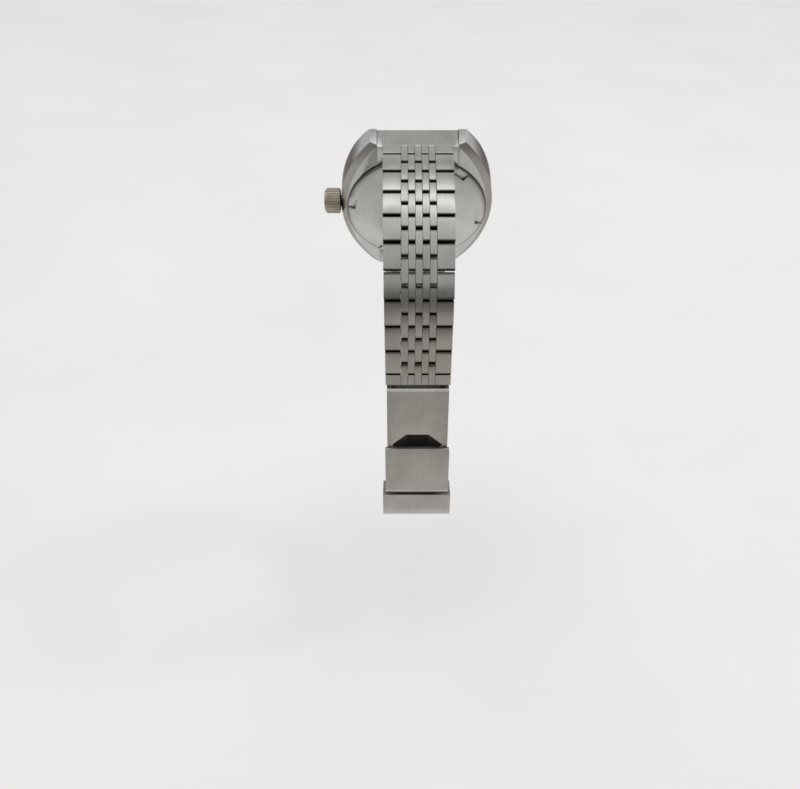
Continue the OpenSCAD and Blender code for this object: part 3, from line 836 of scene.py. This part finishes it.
@dataclass
class CarriedNodes:
    """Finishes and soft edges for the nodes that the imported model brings.

    Attributes:
        materials: the finishes by short name.
        groups: the shared geometry-node groups.
    """

    materials: dict[str, bpy.types.Material]
    groups: SurfaceGroups

    # The finish of each node; one that isn't named here is a link of the 6 o'clock side
    FINISHES = {
        "mid_case": "case", "bezel": "polished", "crystal": "glass", "chapter_ring": "trim",
        "dial": "dial", "hour_markers": "trim", "hour_hand": "trim", "minute_hand": "trim",
        "second_hand": "trim", "movement_ring": "works", "mainplate": "brass",
        "train_bridge": "plate", "barrel": "brass", "centre_wheel": "brass",
        "third_wheel": "brass", "fourth_wheel": "brass", "escape_wheel": "works",
        "balance_wheel": "brass", "rotor": "rotor", "crown": "crown", "stem": "works",
        "caseback": "back", "seals": "rubber", "lug_spring_bars": "works",
        "end_link_12": "links", "end_link_6": "links", "clasp_cover": "clasp",
        "safety_flap": "clasp", "outer_blade": "inside", "inner_blade": "clasp",
    }
    EDGES = {
        Edges.SHARP: ("crystal", "seals"),
        Edges.FINE: ("barrel", "centre_wheel", "third_wheel", "fourth_wheel", "escape_wheel",
                     "balance_wheel", "hour_markers", "hour_hand", "minute_hand", "second_hand",
                     "stem"),
        Edges.SOFT: ("mid_case", "clasp_cover", "safety_flap", "inner_blade"),
    }
    ROW_PREFIX = "strap12"
    ROW_ROUGHNESS = 0.24

    def row_finish(self, name: str, obj: bpy.types.Object) -> bpy.types.Material:
        """The finish of one strap row, placed by the row's own mesh.

        The direction down the strap is the first principal axis of the row's corners in the Y-Z
        plane, and the middle lies halfway between its two ends.

        Args:
            name: the row's name.
            obj: the row.

        Returns:
            The row's material.
        """
        corners = corners_of(obj)[:, 1:]
        middle = (corners.min(0) + corners.max(0)) / 2
        along = np.linalg.svd(corners - corners.mean(0), full_matrices=False)[2][0]
        along = along if along[1] < 0.0 else -along
        reach = (corners - middle) @ along
        middle = middle + along * (reach.max() + reach.min()) / 2
        finish = LinkFinish("satin_" + name, STEEL, DULL_STEEL, self.ROW_ROUGHNESS,
                            Grain.ALONG_STRAP, middle=(0.0, *middle.tolist()),
                            along=(0.0, *along.tolist()),
                            half=float(reach.max() - reach.min()) / 2)
        return finish.material()

    def dress(self, nodes: dict[str, bpy.types.Object]) -> None:
        """Gives every node its finish and edge work.

        Args:
            nodes: the carried-over objects by name.
        """
        edges = {name: kind for kind, names in self.EDGES.items() for name in names}
        for name, obj in nodes.items():
            if name.startswith(self.ROW_PREFIX):
                surface = self.row_finish(name, obj)
            else:
                surface = self.materials[self.FINISHES.get(name, "links")]
            obj.data.materials.clear()
            obj.data.materials.append(surface)
            edges.get(name, Edges.USUAL).value.apply(obj, self.groups)
        LOG.info("%d carried nodes dressed", len(nodes))


@dataclass(frozen=True)
class MinuteTrack:
    """Printed strokes round the dial, one a minute and a longer one every five.

    Each stroke is a thin slab; stroke k stands at 6k degrees, so its middle line is the unit vector
    (sin 6k, cos 6k) times a radius that runs from inner to outer.

    Attributes:
        outer: radius of the strokes' outer ends, in metres.
        short: length of a minute's stroke.
        long: length of a five minutes' stroke.
        width: width of a stroke.
        rise: height of the print over the dial.
    """

    outer: float = 12.3 * MM
    short: float = 0.55 * MM
    long: float = 0.9 * MM
    width: float = 0.09 * MM
    rise: float = 0.015 * MM

    # Corners 0 to 3 go round a stroke's foot and 4 to 7 round its face; the foot stays open
    SLAB = ((4, 7, 6, 5), (0, 4, 5, 1), (1, 5, 6, 2), (2, 6, 7, 3), (3, 7, 4, 0))

    def build(self, frame: DialFrame, dial: bpy.types.Object,
              material: bpy.types.Material) -> bpy.types.Object:
        """Makes the track on the dial's face.

        Args:
            frame: the dial's axes.
            dial: the dial's node.
            material: the printed paint.

        Returns:
            The piece.
        """
        top = float((corners_of(dial) @ frame.matrix[:, 2]).max())
        minute = np.arange(60)
        angle = np.radians(6.0 * minute)
        out = np.stack([np.sin(angle), np.cos(angle)], axis=-1)
        side = np.stack([out[:, 1], -out[:, 0]], axis=-1)
        inner = self.outer - np.where(minute % 5 == 0, self.long, self.short)
        outer = np.full(minute.shape, self.outer)
        radius = np.stack([inner, inner, outer, outer], axis=-1)
        half = np.array([-0.5, 0.5, 0.5, -0.5]) * self.width
        points = np.empty((len(minute), 2, 4, 3))
        flat = radius[..., None] * out[:, None] + half[:, None] * side[:, None]
        points[..., :2] = flat[:, None]
        points[..., 2] = np.array([[top], [top + self.rise]])
        faces = 8 * minute[:, None, None] + np.array(self.SLAB)
        made = mesh_piece("minute_track", frame.to_world(points), faces.reshape(-1, 4), material)
        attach(made, "case")
        return made


@dataclass(frozen=True)
class BladeShadeSheet:
    """A pressed sheet between the two rails of the outer blade, put in as painted shade: it closes
    the blade's slot, which shows only shade, in steel painted darker.

    Along the blade the web follows u from 0 to 1 and across it v from -1 to 1. Its face is sunk by
    dip * (1 - v^2) * sin(pi u), which gives a shallow trough.

    Attributes:
        length: length along the blade, in metres.
        width: width between the rails.
        thickness: thickness of the sheet.
        dip: depth of the trough.
        rows: faces along the blade.
        columns: faces across it.
    """

    length: float = 14.3 * MM
    width: float = 4.3 * MM
    thickness: float = 0.3 * MM
    dip: float = 0.12 * MM
    rows: int = 12
    columns: int = 6

    def build(self, first: Vec3, last: Vec3, material: bpy.types.Material) -> bpy.types.Object:
        """Makes the sheet of painted shade between the blade's two hinges.

        Args:
            first: the hinge at the clasp cover, in metres.
            last: the hinge of the inner blade, in metres.
            material: the finish.

        Returns:
            The piece.
        """
        start, span = np.array(first), np.array(last) - np.array(first)
        across = np.array([1.0, 0.0, 0.0])
        along = span / np.linalg.norm(span)
        up = np.cross(across, along)
        side, u, v = np.meshgrid((0.5, -0.5), np.linspace(0.0, 1.0, self.rows + 1),
                                 np.linspace(-1.0, 1.0, self.columns + 1), indexing="ij")
        lift = side * self.thickness - self.dip * (1.0 - v * v) * np.sin(np.pi * u)
        points = (start + span / 2 + along * ((u - 0.5) * self.length)[..., None]
                  + up * lift[..., None] + across * (v * self.width / 2)[..., None])
        face, under = np.arange(side.size).reshape(side.shape)
        rim = np.concatenate([face[0, :-1], face[:-1, -1], face[-1, :0:-1], face[:0:-1, 0]])
        after = np.roll(rim, -1)
        wall = np.stack([after, rim, rim + face.size, after + face.size], axis=-1)
        faces = np.concatenate([grid_faces(face), grid_faces(under)[:, ::-1], wall])
        made = mesh_piece("blade_shade_sheet", points, faces, material)
        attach(made, "blade_outer")
        return made


@dataclass(frozen=True)
class Lamp:
    """One area lamp that faces the watch and that the metal doesn't mirror.

    Attributes:
        name: the lamp's name.
        place: where it stands, in metres.
        size: side of its square, in metres.
        watts: its power.
        colour: its colour.
    """

    name: str
    place: Vec3
    size: float
    watts: float
    colour: Rgb = WHITE

    def build(self) -> bpy.types.Object:
        """Makes the lamp and turns it to the middle of the model.

        Returns:
            The lamp.
        """
        data = bpy.data.lights.new(self.name, "AREA")
        data.size, data.energy, data.color = self.size, self.watts, self.colour
        made = bpy.data.objects.new(self.name, data)
        bpy.context.scene.collection.objects.link(made)
        made.location = self.place
        x, y, z = self.place
        pitch = math.atan2(math.hypot(x, y), z)
        made.rotation_euler = (pitch, 0.0, math.atan2(-y, -x) - math.pi / 2)
        made.visible_glossy = False
        return made


@dataclass(frozen=True)
class Camera:
    """The photo's camera, on the clasp side and looking down.

    Attributes:
        place: where it stands, in metres.
        pitch: how far it looks down, in degrees.
        focal: focal length as a number of the picture's pixels.
        picture: width of the picture in pixels.
        sensor: width of the sensor in millimetres.
        clip: nearest and farthest distance that it sees, in metres.
    """

    place: Vec3 = (-4.1 * MM, -197.9 * MM, 78.9 * MM)
    pitch: float = 34.0
    focal: float = 839.0
    picture: float = 800.0
    sensor: float = 36.0
    clip: tuple[float, float] = (0.01, 20.0)

    def build(self) -> bpy.types.Object:
        """Makes the camera and gives the scene to it.

        Returns:
            The camera.
        """
        data = bpy.data.cameras.new("camera")
        data.sensor_width = self.sensor
        data.lens = self.focal / self.picture * self.sensor
        data.clip_start, data.clip_end = self.clip
        made = bpy.data.objects.new("camera", data)
        bpy.context.scene.collection.objects.link(made)
        made.location = self.place
        made.rotation_euler = (math.radians(90.0 - self.pitch), 0.0, 0.0)
        bpy.context.scene.camera = made
        return made


@dataclass(frozen=True)
class Studio:
    """Floor, surroundings, lamps and camera.

    Attributes:
        left: the floor's edge on the -X side, in metres; the +X side mirrors it.
        near: its edge on the camera's side.
        far: its edge behind the watch.
        level: its height.
        steps: faces along each of its sides.
        reach: distance from the watch at which the reflected floor is darkest.
        floor_lift: light that the floor adds for the camera alone.
        backdrop: what the camera sees past the floor.
    """

    left: float = -2.5
    near: float = -1.2
    far: float = 4.5
    level: float = -0.1
    steps: int = 8
    reach: float = 0.8
    floor_lift: Rgb = (0.315, 0.315, 0.32)
    backdrop: Rgb = (0.78, 0.78, 0.785)

    MOTTLE = Pattern.even(9.0)
    FLOOR = ((0.3, (0.60, 0.60, 0.59)), (0.7, (0.64, 0.64, 0.63)))

    # Painted reflection: the glow that the metal sees of the floor, by distance from the watch in
    # parts of the reach; bright right under the watch, dark farther out
    REFLECTED_GLOW = ((0.12, (0.80, 0.80, 0.79)), (0.19, (0.43, 0.405, 0.37)), (0.4, (0.44, 0.425, 0.40)),
            (0.56, (0.20, 0.165, 0.16)), (1.0, (0.13, 0.105, 0.10)))

    # Brightness of the surroundings by direction, from the horizon on the clasp side (0) over the
    # zenith (0.5) to the horizon behind the watch (1), and how warm they are
    SKY = ((0.0, 0.15), (0.03, 0.14), (0.05, 0.16), (0.075, 0.50), (0.12, 0.50), (0.2, 0.46),
           (0.31, 0.58), (0.42, 0.70), (0.49, 0.74), (0.51, 1.6), (0.55, 1.6), (0.58, 0.66),
           (0.62, 0.62), (0.65, 0.40), (0.69, 0.44), (0.72, 0.54), (0.8, 0.58), (1.0, 0.6))
    WARMTH = (1.0, 0.995, 0.98)

    LAMPS = (Lamp("overhead", (0.0, 0.1, 0.9), 0.6, 1.2),
             Lamp("key", (0.5, 0.1, 0.6), 0.08, 0.5, (1.0, 0.97, 0.92)))

    @staticmethod
    def glow(sheet: NodeSheet, kind: str, colour: Union[Rgb, Socket]) -> Socket:
        """An even light of one colour.

        Args:
            sheet: the nodes.
            kind: Emission for a surface, Background for the world.
            colour: its colour, fixed or from a socket.

        Returns:
            The shader's socket.
        """
        node = sheet.add(kind, Strength=1.0)
        return sheet.feed(node, colour if isinstance(colour, Socket) else (*colour, 1.0))

    @staticmethod
    def mix(sheet: NodeSheet, ray: str, other: Socket, seen: Socket) -> Socket:
        """Shows one shader to one kind of ray and another to the rest.

        Args:
            sheet: the nodes.
            ray: the ray's name on the Light Path node.
            other: the shader for the rest.
            seen: the shader for that ray.

        Returns:
            The mixed shader's socket.
        """
        share = sheet.add("LightPath").outputs[ray]
        return sheet.feed(sheet.add("MixShader"), share, other, seen)

    def floor_material(self) -> bpy.types.Material:
        """A pale matte floor that looks paler to the camera than in reflections, where it glows
        with painted light: bright right under the watch and dark farther out.

        Returns:
            The material.
        """
        sheet = NodeSheet.of_material("pale_floor")
        point = sheet.point()
        colour = sheet.ramp(sheet.noise(point, self.MOTTLE), self.FLOOR)
        matte = sheet.feed(sheet.add("BsdfDiffuse"), colour)
        length = sheet.add("VectorMath", operation="LENGTH")
        sheet.link(point, length.inputs[0])
        away = sheet.math("DIVIDE", length.outputs["Value"], self.reach)
        # Painted reflection: reflected rays see the floor glow by its distance from the watch
        reflected_glow = self.glow(sheet, "Emission", sheet.ramp(away, self.REFLECTED_GLOW))
        lift = self.glow(sheet, "Emission", self.floor_lift)
        seen = sheet.feed(sheet.add("AddShader"), matte, lift)
        surface = self.mix(sheet, "Is Glossy Ray", matte, reflected_glow)
        surface = self.mix(sheet, "Is Camera Ray", surface, seen)
        sheet.link(surface, sheet.add("OutputMaterial").inputs["Surface"])
        return sheet.owner

    def floor(self) -> bpy.types.Object:
        """The floor, a level grid of points.

        Returns:
            The floor.
        """
        x = np.linspace(self.left, -self.left, self.steps + 1)
        y = np.linspace(self.near, self.far, self.steps + 1)
        points = np.stack(np.meshgrid(x, y, self.level), axis=-1)
        number = np.arange(x.size * y.size).reshape(y.size, x.size)
        made = mesh_piece("floor", points, grid_faces(number), self.floor_material())
        return made

    def world(self) -> None:
        """Surroundings whose brightness follows the direction over the watch.

        The direction is arctan2(z, -y) / pi, the place on the ramp.
        """
        world = bpy.data.worlds.new("surroundings")
        bpy.context.scene.world = world
        sheet = NodeSheet(world)
        split = sheet.add("SeparateXYZ")
        sheet.link(sheet.add("TexCoord").outputs["Generated"], split.inputs[0])
        toward = sheet.math("MULTIPLY", split.outputs[1], -1.0)
        turn = sheet.math("DIVIDE", sheet.math("ARCTAN2", split.outputs[2], toward), math.pi)
        stops = [(place, tuple(light * part for part in self.WARMTH)) for place, light in self.SKY]
        sky = self.glow(sheet, "Background", sheet.ramp(turn, stops))
        seen = self.glow(sheet, "Background", self.backdrop)
        shown = self.mix(sheet, "Is Camera Ray", sky, seen)
        sheet.link(shown, sheet.add("OutputWorld").inputs["Surface"])

    def build(self) -> None:
        """Makes the whole studio."""
        self.floor()
        self.world()
        for lamp in self.LAMPS:
            lamp.build()
        Camera().build()
        bpy.context.scene.view_settings.view_transform = "Standard"
        LOG.info("studio ready")


def main() -> None:
    """Builds the dressed watch and its studio in order."""
    logging.basicConfig(level=logging.INFO, format="%(name)s %(message)s")
    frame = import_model()
    materials = FinishBook().build()
    CarriedNodes(materials, SurfaceGroups()).dress(frame["nodes"])
    MinuteTrack().build(DialFrame(), frame["nodes"]["dial"], materials["rubber"])
    # A sliding joint has no place of its own
    hinge = {joint["name"]: joint.get("pos_m") for joint in frame["joints"]}
    # The outer blade's slot is closed by a sheet in darker steel, as painted shade
    BladeShadeSheet().build(hinge["outer_blade_unfold"], hinge["inner_blade_unfold"], materials["inside"])
    Studio().build()


if __name__ == "__main__":
    main()
